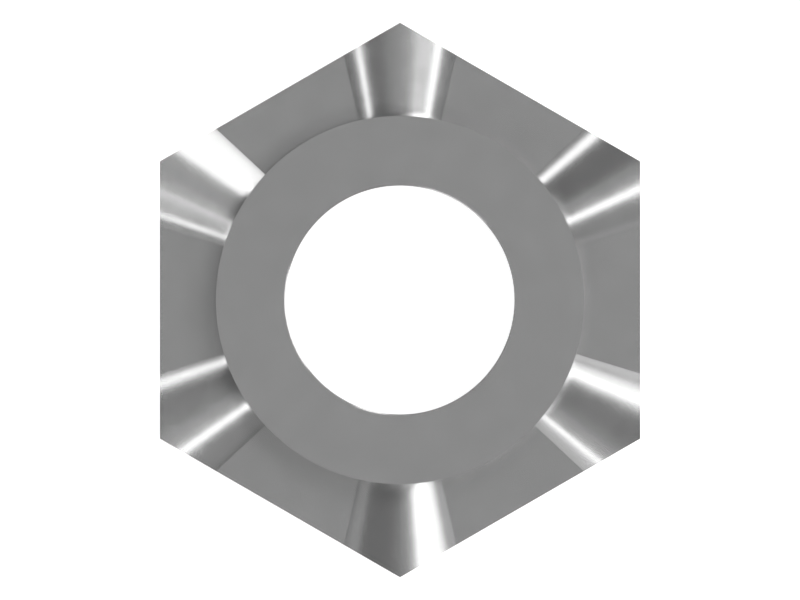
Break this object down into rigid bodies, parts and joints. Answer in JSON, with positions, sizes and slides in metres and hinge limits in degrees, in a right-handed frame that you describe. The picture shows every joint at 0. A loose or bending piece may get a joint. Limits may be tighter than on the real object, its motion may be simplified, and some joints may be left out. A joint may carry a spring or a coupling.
{
  "type": "pilot weld nut",
  "caption": "Hexagon projection weld nut with a round pilot that centres it in a sheet's hole, and conical weld projections at its corners.",
  "frame": {"origin": "on the thread axis, at the plain bearing end that the nut stands on", "axes": "+Z along the thread axis towards the pilot and the weld projections, +Y towards a corner of the hexagon, +X square to a flat"},
  "size_m": [0.014, 0.0162, 0.0077],
  "materials": {
    "steel": "bright, uncoated low-carbon steel with a smooth satin sheen"
  },
  "bodies": {
    "root": {"weld_nut": "steel"}
  },
  "joints": []
}
